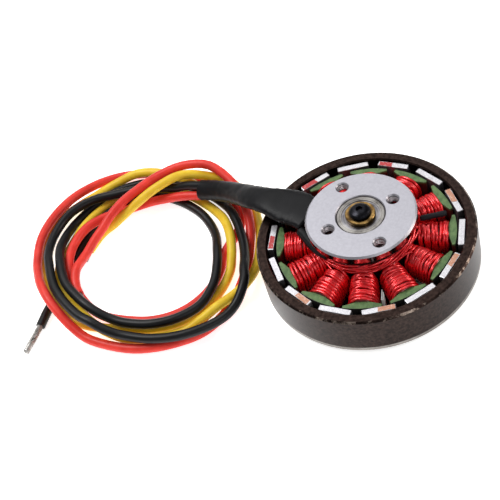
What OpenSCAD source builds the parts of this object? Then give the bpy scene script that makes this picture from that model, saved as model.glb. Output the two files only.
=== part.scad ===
// Brushless outrunner motor for a drone, standing on its hub face with the mounting base up.
// The origin is the centre of the hub face. +Z runs along the shaft and out of the base.

/* [Bell] */
// Outer diameter of the bell
bell_d = 50; // [48:0.5:54]
// Wall of the steel ring that carries the magnets
ring_wall = 2.5; // [2:0.1:3]
// Height of the steel ring
ring_h = 9.1; // [8.6:0.1:9.6]
// Bevel round the open edge of the ring
ring_bevel = 0.4; // [0.2:0.1:0.8]
// Bevel at the mouth of the ring's bore
ring_bore_bevel = 0.3; // [0.1:0.1:0.5]
// Thickness of the cover plate
cover_t = 2; // [1.5:0.1:3]
// Thickness of the cover's flange under the ring
flange_t = 1.3; // [0.9:0.1:1.5]
// Bevel round the outer edge of the cover
cover_bevel = 0.4; // [0.2:0.1:0.8]
// Height of the rim on the cover that the magnets stand on
rim_h = 0.6; // [0.4:0.1:0.8]
// Radial width of that rim
rim_w = 1.5; // [1:0.1:2]
// Number of windows in the cover
window_count = 8; // [5:1:9]
// Radius of the wide outer end of a window
window_wide_r = 2.2; // [2:0.1:3.4]
// Radius of the narrow inner end of a window
window_narrow_r = 1.6; // [1:0.1:2]

/* [Hub] */
// Diameter of the boss that the propeller sits on
hub_d = 22; // [20:0.5:24]
// How far the boss stands out of the cover
hub_h = 2; // [1.5:0.1:3]
// Bevel round the boss
hub_bevel = 0.4; // [0.2:0.1:0.8]
// Diameter of the locating bore in the hub face
pilot_d = 6; // [5:0.1:6.5]
// Depth of the locating bore
pilot_depth = 1.2; // [0.8:0.1:1.5]
// Pitch circle of the propeller screws
prop_pcd = 12; // [12:0.5:16]
// Number of propeller screws
prop_count = 4; // [3:1:6]
// Tapping hole of a propeller screw
prop_hole_d = 2.5; // [2:0.1:2.6]
// Diameter of the inner boss round the shaft
inner_boss_d = 9; // [7.5:0.1:9.2]
// Height of the inner boss above the cover plate
inner_boss_h = 1; // [0.6:0.1:1.3]

/* [Magnets] */
// Number of magnets
magnet_count = 14; // [10:2:14]
// Width of a magnet along the ring
magnet_w = 7.4; // [6:0.1:8]
// Thickness of a magnet
magnet_t = 1.35; // [1:0.05:1.8]
// Height of a magnet along the shaft
magnet_h = 7.1; // [6:0.1:7.2]
// Angle of the first magnet
magnet_phase = 20.5; // [0:0.5:25]

/* [Stator] */
// Number of teeth, each with its coil
tooth_count = 12; // [9:3:12]
// Angle of the first tooth
tooth_phase = 2; // [0:0.5:30]
// Height of the lamination stack
stator_h = 6; // [5:0.1:6.1]
// Running gap between the stator and the magnets
air_gap = 0.3; // [0.2:0.05:0.6]
// Radial width of the yoke round the post
yoke_w = 3; // [2:0.1:3.5]
// Width of a tooth
tooth_w = 3; // [2.4:0.1:3.1]
// Opening of a slot between two tips
slot_w = 2; // [1.6:0.1:3.1]
// Thickness of a tooth's tip at its middle
tip_t = 1.9; // [1.5:0.1:2.2]
// Thickness of a tooth's tip at its ends
tip_edge_t = 0.7; // [0.4:0.1:1]

/* [Coils] */
// Radius where the coils begin
coil_in_r = 11.8; // [11.6:0.1:12.4]
// Width of a coil at its inner end
coil_w_in = 5.4; // [5:0.1:5.6]
// Width of a coil at its outer end
coil_w_out = 6.5; // [5.6:0.1:8]
// How far a coil's crown stands over the stack at either end
coil_over = 1.1; // [1:0.1:1.3]
// How much lower the shoulders of a coil are than its crown
crown_rise = 0.5; // [0.3:0.1:0.6]
// Diameter of a turn of the outer winding layer
wire_d = 0.44; // [0.3:0.02:0.5]
// Least clear gap between two turns
wire_gap = 0.42; // [0.41:0.01:0.6]
// Thickness of the bundle of wires that links the coils
bundle_d = 1.6; // [1:0.1:1.6]

/* [Base] */
// Diameter of the mounting disc
base_d = 25; // [24.5:0.5:28]
// Thickness of the mounting disc
base_t = 2.2; // [1.8:0.1:3]
// Room between the stator and the mounting disc
base_rise = 5.15; // [4.6:0.05:7]
// Bevel round the mounting disc
base_bevel = 0.4; // [0.2:0.1:0.8]
// Distance between the two holes on X
hole_span_x = 16; // [16:0.5:19]
// Distance between the two holes on Y
hole_span_y = 19; // [16:0.5:19]
// Tapping hole of a mounting screw
hole_d = 2.5; // [2:0.1:2.6]
// Depth of the bevel at the mouth of a mounting hole
hole_bevel = 0.3; // [0.1:0.1:0.5]
// Diameter of the post that carries the stator
post_d = 13; // [12.8:0.1:13.4]
// Height of the shoulder that the stator seats against
shoulder_h = 1.2; // [0.6:0.1:1.8]
// Radial width of that shoulder
shoulder_w = 0.8; // [0.4:0.1:0.8]

/* [Shaft and bearings] */
// Diameter of the shaft
shaft_d = 4; // [3:0.1:4]
// Outer diameter of a bearing
bearing_d = 11; // [10.5:0.1:11.4]
// Width of a bearing
bearing_w = 4; // [3.8:0.1:4.4]
// Diameter of a ball
ball_d = 1.6; // [1.4:0.05:1.7]
// Number of balls in a bearing
ball_count = 7; // [5:1:7]
// Diameter of the collar on the shaft's upper end
collar_d = 6.8; // [5.8:0.1:8]
// Height of the collar
collar_h = 0.8; // [0.5:0.1:1.5]
// Diameter of the screw's domed head
screw_head_d = 4.8; // [4:0.1:5.5]
// Height of the screw's head
screw_head_h = 1.4; // [1.1:0.1:2]
// Diameter of the screw's shank
screw_d = 2.5; // [1.6:0.1:2.5]
// Length of the screw under its head
screw_l = 6; // [3:0.5:8]
// Size of the screw's key recess across its flats
screw_key = 1.5; // [1.3:0.1:2]

/* [Leads] */
// Diameter of a silicone lead
lead_d = 2.3; // [1.8:0.1:2.35]
// Diameter of a tinned lead end
tip_d = 1.5; // [1:0.1:1.6]
// Diameter of the sleeve on the phase wires under the base
phase_sleeve_d = 2.4; // [1.6:0.1:2.8]

/* [Hidden] */
// Facets of plain round shapes
$fn = 96;
// How far a cut runs past the face that it opens
overrun = 0.5;
// Radial clearance of a piece pressed or glued into another
press_gap = 0.01;
// Radial clearance of the ring round the cover and of the stator round the post
seat_gap = 0.03;

// Levels of the bell, from the hub face up
cover_z = hub_h;
ring_z = cover_z + flange_t;
ring_top = ring_z + ring_h;
floor_z = cover_z + cover_t;
boss_top = floor_z + inner_boss_h;

// Radii of the bell
bell_r = bell_d / 2;
ring_bore_r = bell_r - ring_wall;
rim_out_r = ring_bore_r - seat_gap;
rim_in_r = rim_out_r - rim_w;
// Solid web between a window and the boss, and between a window and the rim
window_web = 0.8;
window_rim = 2.4;
window_narrow_at = hub_d / 2 + window_web + window_narrow_r;
window_wide_at = rim_in_r - window_rim - window_wide_r;

// Glue line behind a magnet's corners, and the gap under a magnet
glue_gap = 0.04;
magnet_floor_gap = 0.1;
magnet_out_r = sqrt(pow(ring_bore_r - glue_gap, 2) - pow(magnet_w / 2, 2));
magnet_in_r = magnet_out_r - magnet_t;
magnet_z = floor_z + rim_h + magnet_floor_gap;

// Levels of the stator
coil_floor_gap = 0.35;
coil_z = floor_z + coil_floor_gap;
coil_h = stator_h + 2 * coil_over;
coil_mid = coil_z + coil_h / 2;
stator_z = coil_mid - stator_h / 2;
stator_top = stator_z + stator_h;

// Radii of the stator
stator_r = magnet_in_r - air_gap;
post_r = post_d / 2;
yoke_in_r = post_r + seat_gap;
yoke_out_r = post_r + yoke_w;
tip_face = stator_r - tip_t;
// Width of a tip: the room that one tooth has, less the slot's opening
tip_w = 2 * stator_r * sin(180 / tooth_count) - slot_w;
// Inner side of a tip's thin end, and the slope from the tooth out to it
tip_edge_x = sqrt(pow(stator_r, 2) - pow(tip_w / 2, 2)) - tip_edge_t;
tip_slope = (tip_edge_x - tip_face) / (tip_w / 2 - tooth_w / 2);

// Cross-section and length of a coil: the turns lie a hair clear of their core
coil_tip_gap = 0.1;
liner_gap = 0.05;
wire_r = wire_d / 2;
turn_gap = 0.06;
turn_h = coil_h / 2 - wire_r;
shoulder_turn_h = turn_h - crown_rise;
coil_out_r = tip_face - coil_tip_gap;
// Straight end of a winding, and the gap where it meets the bundle or the tooth's tip
stub_l = wire_d;
stub_gap = 0.05;
first_turn_x = coil_in_r + wire_r;
last_turn_x = coil_out_r - wire_r;
// A winding ends three quarters of a turn after its last whole turn
part_turn_share = 0.75;
whole_turns = floor((last_turn_x - first_turn_x) / (wire_d + wire_gap) - part_turn_share);
turn_pitch = (last_turn_x - first_turn_x) / (whole_turns + part_turn_share);
// Corners of a turn, from the crown round
turn_corners = 6;
wire_sides = 4;

// The bundle lies on the teeth, where the windings' inner ends meet it
bundle_r = first_turn_x - stub_l - stub_gap - bundle_d / 2;
bundle_z = coil_mid + turn_h;
bundle_top = bundle_z + bundle_d / 2;

// Levels of the bearings, base and shaft
spacer_h = 0.5;
post_lip = 0.2;
bearing_sink = 0.3;
screw_seat_gap = 0.1;
hub_bearing_z = boss_top + spacer_h;
post_z = hub_bearing_z - post_lip;
base_z = stator_top + base_rise;
base_top = base_z + base_t;
base_bearing_top = base_top - bearing_sink;
base_bearing_z = base_bearing_top - bearing_w;
collar_top = base_bearing_top + collar_h;
shaft_z = pilot_depth;
shaft_top = collar_top - screw_seat_gap;
screw_bottom = collar_top - screw_l;

// Inside of a bearing
shaft_r = shaft_d / 2;
bearing_r = bearing_d / 2;
race_pitch_r = (shaft_r + bearing_r) / 2;
// Half of the gap between the races' lands
land_half = 0.6;
groove_gap = 0.03;
race_bevel = 0.2;
shield_t = 0.2;
shield_sink = 0.15;
shield_gap = 0.1;
cage_half_w = 0.3;
cage_floor = 0.35;
cage_rise = 0.35;
pocket_gap = 0.05;
// The post's bore between the two seats stays this much inside them
seat_step = 0.6;
seat_bevel = 0.2;
post_bore_r = bearing_r - seat_step;
// Outside of the hub spacer
spacer_r = race_pitch_r - land_half - shield_gap;

// Small bevels and reliefs on the shaft, screw and collar, and the straight edge of the screw's head
shaft_bevel = 0.3;
collar_bevel = 0.15;
screw_edge_h = 0.35;
screw_dome_steps = 8;
screw_thread_gap = 0.03;
screw_tap_extra = 0.5;
key_depth = 0.7;

// Wound-wire joint on top of the coils, from near the bundle out to the tips
star_d = 1.4;
star_bundle_gap = 1.1;
star_in_r = bundle_r + bundle_d / 2 + star_bundle_gap;
star_rise = 0.5;
star_angle = -17;

// Strip of slot liner beside one tooth's tip
liner_t = 0.5;
liner_w = 2.2;
liner_rise = 0.6;
liner_tooth = 8;

// Leads: where their loops turn round, one layer's rise, sides of a tube, and how far
// a lead reaches into the sleeve
loop_centre = [-46, 32];
layer_rise = 2.6;
lead_sides = 6;
lead_turn = 30;
lead_reach = 0.8;

// Route of each lead: angle round the loops' centre, radius, and layer above the floor
red_route = [
    [23, 20.4, 1.3], [38, 18.2, 1.1], [52, 17.4, 0.7], [66, 17.5, 0.3], [80, 17.5, 0.1],
    [95, 17.4, 0.3], [110, 17.7, 0.8], [125, 18.7, 1], [140, 19.2, 1], [155, 19.3, 1],
    [169, 19.1, 0.8], [180, 19, 0.3], [190, 18.9, 0], [205, 19.1, 0], [220, 19.2, 0],
    [240, 19.3, 0], [255, 20, 0], [270, 20.6, 0], [285, 20.8, 0], [300, 20.6, 0],
    [315, 20, 0], [328, 19.5, 0], [338, 20.8, 0], [346, 22.8, 0], [354, 24.5, 0],
    [364, 25.5, 0], [378, 26.2, 0], [395, 26.5, 0], [410, 27, 0], [425, 28, 0],
    [440, 29.6, 0], [450, 30.5, 0.1], [460, 30.2, 0.5], [472, 29.7, 0.9], [486, 29.4, 1],
    [500, 28.9, 1], [515, 27.7, 1], [527, 26.7, 1.4], [536, 26.2, 1.8], [546, 25.9, 1.8],
    [556, 25.8, 1.3], [568, 26, 0.5], [580, 26.3, 0], [600, 27.1, 0], [615, 27.9, 0],
    [630, 28.8, 0], [640, 29.2, 0], [650, 28.7, 0], [660, 27.8, 0], [670, 26.8, 0],
    [680, 26.2, 0], [692, 25.9, 0.1], [706, 26.5, 0.7], [720, 27, 1.1], [734, 27.7, 1.6],
    [750, 27.4, 2.4], [765, 25, 2.4], [780, 21.6, 2.1], [795, 18.1, 2], [810, 16, 1.9],
    [825, 14.8, 1.6], [840, 14.2, 1.2], [855, 14.4, 1], [870, 15.1, 0.9], [882, 16, 1.2],
    [892, 17, 1.6], [900, 18, 1.5], [908, 18.8, 1.3]
];
yellow_route = [
    [26, 22.6, 1.3], [36, 22.7, 1.1], [45, 23.7, 1.1], [60, 25.3, 1.05], [75, 27.2, 0.8],
    [90, 28, 0.1], [100, 27.8, 0], [110, 28.3, 0], [120, 29.1, 0], [130, 29.2, 0],
    [140, 28.6, 0], [150, 27.4, 0], [160, 26, 0.2], [169, 24.9, 0.7], [180, 24.6, 1],
    [190, 24.4, 0.7], [200, 24.1, 0.1], [210, 23.3, 0], [220, 22.4, 0], [230, 21.9, 0],
    [240, 21.8, 0], [255, 22.5, 0], [270, 23.3, 0], [285, 23.6, 0], [300, 23.3, 0],
    [315, 22.7, 0.1], [327, 22.1, 0.7], [337, 21.6, 1], [348, 21.1, 1], [358, 20.7, 0.8],
    [368, 20.5, 0.3], [380, 20.5, 0], [400, 21, 0], [420, 22.1, 0], [435, 22.7, 0],
    [450, 22.9, 0], [465, 22.4, 0], [480, 21.9, 0], [495, 21.4, 0], [508, 21.4, 0.3],
    [518, 21.7, 0.8], [528, 21.7, 1], [540, 21.8, 1], [555, 21.8, 1], [565, 22, 1],
    [574, 22.8, 1.1], [582, 23.6, 0.95], [590, 24.2, 0.6], [600, 24.6, 0.1], [615, 25.3, 0],
    [630, 26.2, 0], [640, 26.8, 0.5], [650, 27.6, 1], [660, 28.5, 0.9], [670, 29, 0.7],
    [680, 28.7, 0.2], [692, 28.3, 0], [705, 28.4, 0], [722, 29, 0.1], [735, 28.9, 0.4],
    [742, 28.2, 0.9], [750, 25.8, 1.5], [758, 23.2, 2.2], [766, 20.9, 2.4], [780, 17.3, 2.1],
    [795, 15.4, 1.5], [810, 14.7, 0.9], [825, 14.7, 0.4], [840, 15.6, 0.1], [860, 16, 0]
];
black_route = [
    [25, 21.5, 2.15], [36, 20.4, 1.8], [46, 19.8, 1.4], [60, 20.3, 1.1], [75, 20.9, 1],
    [90, 21.9, 1], [105, 24.3, 1.05], [120, 25.7, 1.15], [135, 25.7, 1.1], [150, 24.7, 1.5],
    [162, 23.6, 1.9], [180, 23.3, 2], [195, 23.4, 2], [210, 24, 2], [220, 24.4, 2],
    [230, 25, 1.5], [240, 25.5, 1.1], [255, 27.3, 1], [270, 29.3, 1], [285, 31, 1],
    [295, 31.2, 1.2], [305, 30.1, 1.8], [313, 27.9, 1.7], [321, 26.4, 1.3], [332, 24.9, 1.05],
    [345, 23.8, 1], [354, 23.4, 1], [362, 23.3, 0.7], [372, 23.3, 0.2], [385, 23.3, 0],
    [405, 24, 0], [420, 24.7, 0], [435, 25.3, 0], [450, 25.5, 0], [465, 25, 0],
    [480, 24.5, 0.05], [488, 23.8, 0.35], [496, 22.7, 0.9], [508, 21.9, 1.4], [520, 20.9, 1.8],
    [532, 20.5, 2], [545, 20.5, 2], [560, 20.4, 2], [570, 20.7, 1.95], [580, 21, 1.6],
    [590, 21.3, 1.2], [600, 21.9, 1.05], [615, 23, 1], [630, 23.9, 1], [645, 24.1, 1],
    [660, 22.2, 1], [675, 19.9, 1], [690, 18.3, 0.8], [705, 17.7, 0.3], [720, 17.5, 0],
    [735, 17.6, 0], [750, 17.9, 0], [765, 18.6, 0], [780, 19.6, 0], [795, 20.1, 0],
    [810, 20.2, 0], [825, 19.8, 0], [840, 19.2, 0], [855, 18.6, 0], [868, 18.8, 0],
    [879, 19.4, 0], [889, 21.4, 0], [898, 24.2, 0], [905, 27.5, 0], [911, 30.8, 0]
];
// Far end of each tinned tip, in the same terms
red_tip = [919, 19.6, 1.1];
yellow_tip = [872, 16.3, 0];
black_tip = [918, 37.5, 0];

// Shrink sleeve over the three leads: place, width and height of each section
sleeve_rows = [
    [-7.7, 9.3, 14.9, 6.4, 2.8], [-10.2, 12.5, 14.9, 9.8, 3], [-12.6, 15.9, 14.8, 9.6, 3],
    [-15.6, 19.8, 14.7, 7.4, 3.2], [-17.8, 24, 13.2, 6.8, 3.6], [-19.1, 27.7, 11.2, 6.1, 4.4],
    [-21, 32.4, 8.8, 5.4, 5], [-23.4, 36.8, 6.8, 5.2, 5.2], [-26.5, 40.8, 5.3, 5.2, 5.2]
];
sleeve_sides = 12;
sleeve_steps = 2;

// Sleeve on the phase wires, in plan; it lies on the bundle
phase_rows = [[-12.6, 6.7], [-12.3, 5], [-12.1, 3.3], [-11.9, 1.6], [-11.5, -0.4], [-10.3, -3.2]];
phase_lift = 0.1;
phase_z = bundle_top + phase_lift + phase_sleeve_d / 2;
phase_sides = 8;
phase_steps = 2;

// Unit vector along v
function unit(v) = v / norm(v);

// Places on a smooth curve through four rows, between the two middle ones
function between(a, b, c, d, u) =
    (2 * b + (c - a) * u + (2 * a - 5 * b + 4 * c - d) * u * u + (3 * b - a - 3 * c + d) * u * u * u) / 2;

// A smooth curve through all rows, with so many steps from one row to the next
function curve(rows, steps) = concat(
    [for (i = [0:len(rows) - 2], k = [0:steps - 1])
        between(rows[max(i - 1, 0)], rows[i], rows[i + 1], rows[min(i + 2, len(rows) - 1)], k / steps)],
    [rows[len(rows) - 1]]);

// Direction of a path at its point i
function heading(path, i) = unit(path[min(i + 1, len(path) - 1)] - path[max(i - 1, 0)]);

// Ring of points round a point, of half width a and half height b, square to a direction
function oval(centre, along, a, b, sides, turn) =
    let (side = unit(cross([0, 0, 1], along)), up = cross(along, side))
    [for (j = [0:sides - 1])
        centre + a * cos(turn + 360 * j / sides) * side + b * sin(turn + 360 * j / sides) * up];

// Least clear gap between stretches of a tube that lie at least so many points apart
function least_gap(path, apart, d) =
    min([for (i = [0:len(path) - 1 - apart], j = [i + apart:len(path) - 1]) norm(path[i] - path[j])]) - d;

// Place of a route's row in space
function route_point(row) = [
    loop_centre[0] + row[1] * cos(row[0]),
    loop_centre[1] + row[1] * sin(row[0]),
    lead_d / 2 + layer_rise * row[2]
];
function route_path(route) = [for (row = route) route_point(row)];

// Corners of a turn across a tooth, y along the ring and z along the shaft, from the crown
function turn_section(w) = [
    [0, turn_h], [-w, shoulder_turn_h], [-w, -shoulder_turn_h],
    [0, -turn_h], [w, -shoulder_turn_h], [w, shoulder_turn_h]
];
// Outward normal of the side that starts at corner i
function side_normal(section, i) =
    let (run = unit(section[(i + 1) % turn_corners] - section[i % turn_corners])) [run[1], -run[0]];
// Step from corner i that moves both its sides outward by one
function corner_step(section, i) =
    let (a = side_normal(section, i + turn_corners - 1), b = side_normal(section, i)) (a + b) / (1 + a * b);
// Half width of a turn's centre line at a distance along the tooth
function turn_half_w(x) =
    (coil_w_in + (coil_w_out - coil_w_in) * (x - coil_in_r) / (coil_out_r - coil_in_r)) / 2 - wire_r;
// Centre of the winding after so many corners
function turn_x(i) = first_turn_x + turn_pitch * i / turn_corners;
function turn_centre(i) =
    let (corner = turn_section(turn_half_w(turn_x(i)))[i % turn_corners]) [turn_x(i), corner[0], corner[1]];
// Ring of the winding at a corner
function turn_ring(i) =
    let (step = corner_step(turn_section(turn_half_w(turn_x(i))), i))
    [for (q = [0:wire_sides - 1])
        let (c = wire_r * cos(360 * q / wire_sides), s = wire_r * sin(360 * q / wire_sides))
        turn_centre(i) + [c, s * step[0], s * step[1]]];

// Rings of one winding: a straight start at the crown, the turns, and a straight end at the side
corner_last = (whole_turns + 1) * turn_corners - 2;
start_centre = [first_turn_x, 0, turn_h];
end_centre = [last_turn_x, turn_half_w(last_turn_x), 0];
// The straight end reaches the sloping inner side of the tip
end_l = tip_face + tip_slope * (end_centre[1] - wire_r - tooth_w / 2) - stub_gap - last_turn_x;
winding_rings = concat(
    [for (bend = [0, 1]) [for (q = [0:wire_sides - 1])
        let (c = wire_r * cos(360 * q / wire_sides), s = wire_r * sin(360 * q / wire_sides))
        start_centre + [bend * c - (1 - bend) * stub_l, c, s]]],
    [for (i = [1:corner_last]) turn_ring(i)],
    [for (bend = [1, 0]) [for (q = [0:wire_sides - 1])
        let (c = wire_r * cos(360 * q / wire_sides), s = wire_r * sin(360 * q / wire_sides))
        end_centre + [bend * c + (1 - bend) * end_l, s, -c]]]
);
winding_path = concat([start_centre], [for (i = [1:corner_last]) turn_centre(i)], [end_centre]);
echo("Least gap of a winding to itself", least_gap(winding_path, 4, wire_d));

// Points of a lead's route that its gap is measured on, and how far apart two of them lie at least
gap_steps = 4;
gap_apart = 16;
for (route = [red_route, yellow_route, black_route])
    echo("Least gap of a lead to itself", least_gap(curve(route_path(route), gap_steps), gap_apart, lead_d));

// Closed skin over a list of rings with equally many points
module skin(rings) {
    n = len(rings[0]);
    last = (len(rings) - 1) * n;
    polyhedron(
        points = [for (ring = rings) each ring],
        faces = concat(
            [for (i = [0:len(rings) - 2], j = [0:n - 1]) [i * n + j, (i + 1) * n + j, (i + 1) * n + (j + 1) % n]],
            [for (i = [0:len(rings) - 2], j = [0:n - 1]) [i * n + j, (i + 1) * n + (j + 1) % n, i * n + (j + 1) % n]],
            [for (j = [1:n - 2]) [0, j, j + 1]],
            [for (j = [1:n - 2]) [last, last + j + 1, last + j]]
        ),
        convexity = 10
    );
}

// Round tube along a path
module tube(path, d, sides, turn) {
    skin([for (i = [0:len(path) - 1]) oval(path[i], heading(path, i), d / 2, d / 2, sides, turn)]);
}

// Ring with a rectangular section
module annulus(r_in, r_out, h) {
    difference() {
        cylinder(r = r_out, h = h);
        translate([0, 0, -overrun]) cylinder(r = r_in, h = h + 2 * overrun);
    }
}

// Steel ring of the bell, bevelled at its open edge
module flux_ring() {
    color("#45403e") rotate_extrude() polygon([
        [ring_bore_r, ring_z],
        [bell_r, ring_z],
        [bell_r, ring_top - ring_bevel],
        [bell_r - ring_bevel, ring_top],
        [ring_bore_r + ring_bore_bevel, ring_top],
        [ring_bore_r, ring_top - ring_bore_bevel]
    ]);
}

// Outline of a window: two round ends and their common tangents
module window_outline() {
    lean = (window_wide_r - window_narrow_r) / (window_wide_at - window_narrow_at);
    rise = sqrt(1 - lean * lean);
    translate([window_narrow_at, 0]) circle(r = window_narrow_r);
    translate([window_wide_at, 0]) circle(r = window_wide_r);
    polygon([
        [window_narrow_at - window_narrow_r * lean, window_narrow_r * rise],
        [window_wide_at - window_wide_r * lean, window_wide_r * rise],
        [window_wide_at - window_wide_r * lean, -window_wide_r * rise],
        [window_narrow_at - window_narrow_r * lean, -window_narrow_r * rise]
    ]);
}

// Cover of the bell with its hub, flange, rim, windows and screw holes
module bell_cover() {
    color("#b4b3b1") difference() {
        rotate_extrude() polygon([
            [shaft_r + press_gap, pilot_depth],
            [pilot_d / 2, pilot_depth],
            [pilot_d / 2, 0],
            [hub_d / 2 - hub_bevel, 0],
            [hub_d / 2, hub_bevel],
            [hub_d / 2, cover_z],
            [bell_r - cover_bevel, cover_z],
            [bell_r, cover_z + cover_bevel],
            [bell_r, ring_z],
            [rim_out_r, ring_z],
            [rim_out_r, floor_z + rim_h],
            [rim_in_r, floor_z + rim_h],
            [rim_in_r, floor_z],
            [inner_boss_d / 2, floor_z],
            [inner_boss_d / 2, boss_top],
            [shaft_r + press_gap, boss_top]
        ]);
        for (i = [0:window_count - 1])
            rotate([0, 0, 360 * (i + 0.5) / window_count])
                translate([0, 0, cover_z - overrun])
                    linear_extrude(height = cover_t + 2 * overrun) window_outline();
        for (i = [0:prop_count - 1])
            rotate([0, 0, 360 * (i + 0.5) / prop_count])
                translate([prop_pcd / 2, 0, -overrun])
                    cylinder(d = prop_hole_d, h = floor_z + 2 * overrun);
    }
}

// Flat magnet against the bore of the ring
module magnet(i) {
    color("#c9c5c2") rotate([0, 0, magnet_phase + 360 * (i - 1) / magnet_count])
        translate([magnet_in_r, -magnet_w / 2, magnet_z]) cube([magnet_t, magnet_w, magnet_h]);
}

// Lamination stack: yoke, teeth and tips
module stator_core() {
    tooth_from = post_r + yoke_w / 2;
    color("#5f7d4c") translate([0, 0, stator_z]) linear_extrude(height = stator_h) difference() {
        union() {
            circle(r = yoke_out_r);
            for (i = [0:tooth_count - 1])
                rotate([0, 0, tooth_phase + 360 * i / tooth_count]) {
                    translate([tooth_from, -tooth_w / 2]) square([tip_face + tip_t / 2 - tooth_from, tooth_w]);
                    intersection() {
                        circle(r = stator_r);
                        polygon([
                            [tip_face, -tooth_w / 2],
                            [tip_edge_x, -tip_w / 2],
                            [stator_r, -tip_w / 2],
                            [stator_r, tip_w / 2],
                            [tip_edge_x, tip_w / 2],
                            [tip_face, tooth_w / 2]
                        ]);
                    }
                }
        }
        circle(r = yoke_in_r);
    }
}

// Plain core of a coil, just inside its turns and open for the tooth
module coil_core() {
    inset = wire_r + turn_gap;
    difference() {
        skin([for (x = [coil_in_r, coil_out_r])
            let (section = turn_section(turn_half_w(x)))
            [for (i = [0:turn_corners - 1])
                let (corner = section[i] - inset * corner_step(section, i))
                [x, corner[0], corner[1]]]]);
        translate([coil_in_r - overrun, -tooth_w / 2 - liner_gap, -stator_h / 2 - liner_gap])
            cube([coil_out_r - coil_in_r + 2 * overrun, tooth_w + 2 * liner_gap, stator_h + 2 * liner_gap]);
    }
}

// Coil on tooth i: the core and one unbroken winding round it
module coil(i) {
    color("#c8452f") rotate([0, 0, tooth_phase + 360 * (i - 1) / tooth_count])
        translate([0, 0, coil_mid]) {
            coil_core();
            skin(winding_rings);
        }
}

// Bundle of wires round the post that links the coils
module crossover_bundle() {
    color("#b23c2c") translate([0, 0, bundle_z]) rotate_extrude()
        translate([bundle_r, 0]) circle(d = bundle_d, $fn = 24);
}

// Sleeved joint of the wires, lying in the groove between two coils
module star_joint() {
    color("#1e1e20") rotate([0, 0, star_angle])
        translate([star_in_r, 0, coil_mid + coil_h / 2 + star_rise])
            rotate([0, 90, 0]) cylinder(d = star_d, h = tip_face - star_in_r, $fn = 32);
}

// End of the slot liner, standing against the flank of one tooth's tip
module slot_liner() {
    color("#9a9a92") rotate([0, 0, tooth_phase + 360 * liner_tooth / tooth_count])
        translate([tip_edge_x + tip_edge_t / 2 - liner_w, tip_w / 2 + liner_gap, stator_z])
            cube([liner_w, liner_t, stator_h + liner_rise]);
}

// Sleeve on the phase wires under the base
module phase_sleeve() {
    path = [for (row = curve(phase_rows, phase_steps)) [row[0], row[1], phase_z]];
    color("#232325") tube(path, phase_sleeve_d, phase_sides, 0);
}

// Shrink sleeve that holds the three leads together, flat under the base and round at its end
module lead_sleeve() {
    rows = curve(sleeve_rows, sleeve_steps);
    path = [for (row = rows) [row[0], row[1], row[2]]];
    color("#26262a") skin([for (i = [0:len(rows) - 1])
        oval(path[i], heading(path, i), rows[i][3] / 2, rows[i][4] / 2, sleeve_sides, 0)]);
}

// Silicone lead along its route, starting a little inside the sleeve
module lead(route, shade) {
    path = route_path(route);
    color(shade) tube(concat([path[0] - lead_reach * heading(path, 0)], path), lead_d, lead_sides, lead_turn);
}

// Tinned end of a lead
module lead_tip(route, tip) {
    color("#c9b7a2") tube([route_point(route[len(route) - 1]), route_point(tip)], tip_d, phase_sides, 0);
}

// Mounting disc, post and bearing seats
module base_mount() {
    seat_r = bearing_r + press_gap;
    hub_bearing_top = hub_bearing_z + bearing_w;
    color("#cfcfd3") difference() {
        rotate_extrude() polygon([
            [seat_r, post_z],
            [post_r, post_z],
            [post_r, stator_top + seat_gap],
            [post_r + shoulder_w, stator_top + seat_gap],
            [post_r + shoulder_w, stator_top + shoulder_h],
            [post_r, stator_top + shoulder_h + shoulder_w],
            [post_r, base_z],
            [base_d / 2 - base_bevel, base_z],
            [base_d / 2, base_z + base_bevel],
            [base_d / 2, base_top - base_bevel],
            [base_d / 2 - base_bevel, base_top],
            [seat_r + seat_bevel, base_top],
            [seat_r, base_top - seat_bevel],
            [seat_r, base_bearing_z],
            [post_bore_r, base_bearing_z],
            [post_bore_r, hub_bearing_top],
            [seat_r, hub_bearing_top]
        ]);
        for (side = [-1, 1]) {
            translate([side * hole_span_x / 2, 0, 0]) mounting_hole();
            translate([0, side * hole_span_y / 2, 0]) mounting_hole();
        }
    }
}

// Cut of one mounting hole, bevelled at its mouth
module mounting_hole() {
    translate([0, 0, base_z - overrun]) cylinder(d = hole_d, h = base_t + 2 * overrun);
    translate([0, 0, base_top - hole_bevel])
        cylinder(r1 = hole_d / 2, r2 = hole_d / 2 + hole_bevel + overrun, h = hole_bevel + overrun);
}

// Groove that the balls run in
module ball_groove(z) {
    translate([0, 0, z + bearing_w / 2]) rotate_extrude()
        translate([race_pitch_r, 0]) circle(r = ball_d / 2 + groove_gap, $fn = 48);
}

// Outer race of a bearing that starts at z
module outer_race(z) {
    land_r = race_pitch_r + land_half;
    color("#b9bbbf") difference() {
        translate([0, 0, z]) rotate_extrude() polygon([
            [land_r, 0],
            [bearing_r - race_bevel, 0],
            [bearing_r, race_bevel],
            [bearing_r, bearing_w - race_bevel],
            [bearing_r - race_bevel, bearing_w],
            [land_r, bearing_w]
        ]);
        ball_groove(z);
    }
}

// Inner race of a bearing that starts at z
module inner_race(z) {
    land_r = race_pitch_r - land_half;
    bore_r = shaft_r + press_gap;
    color("#c4c6ca") difference() {
        translate([0, 0, z]) rotate_extrude() polygon([
            [bore_r + race_bevel, 0],
            [land_r, 0],
            [land_r, bearing_w],
            [bore_r + race_bevel, bearing_w],
            [bore_r, bearing_w - race_bevel],
            [bore_r, race_bevel]
        ]);
        ball_groove(z);
    }
}

// Balls of a bearing that starts at z
module balls(z) {
    color("#d8dade") for (i = [0:ball_count - 1])
        rotate([0, 0, 360 * i / ball_count])
            translate([race_pitch_r, 0, z + bearing_w / 2]) sphere(d = ball_d, $fn = 32);
}

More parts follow.
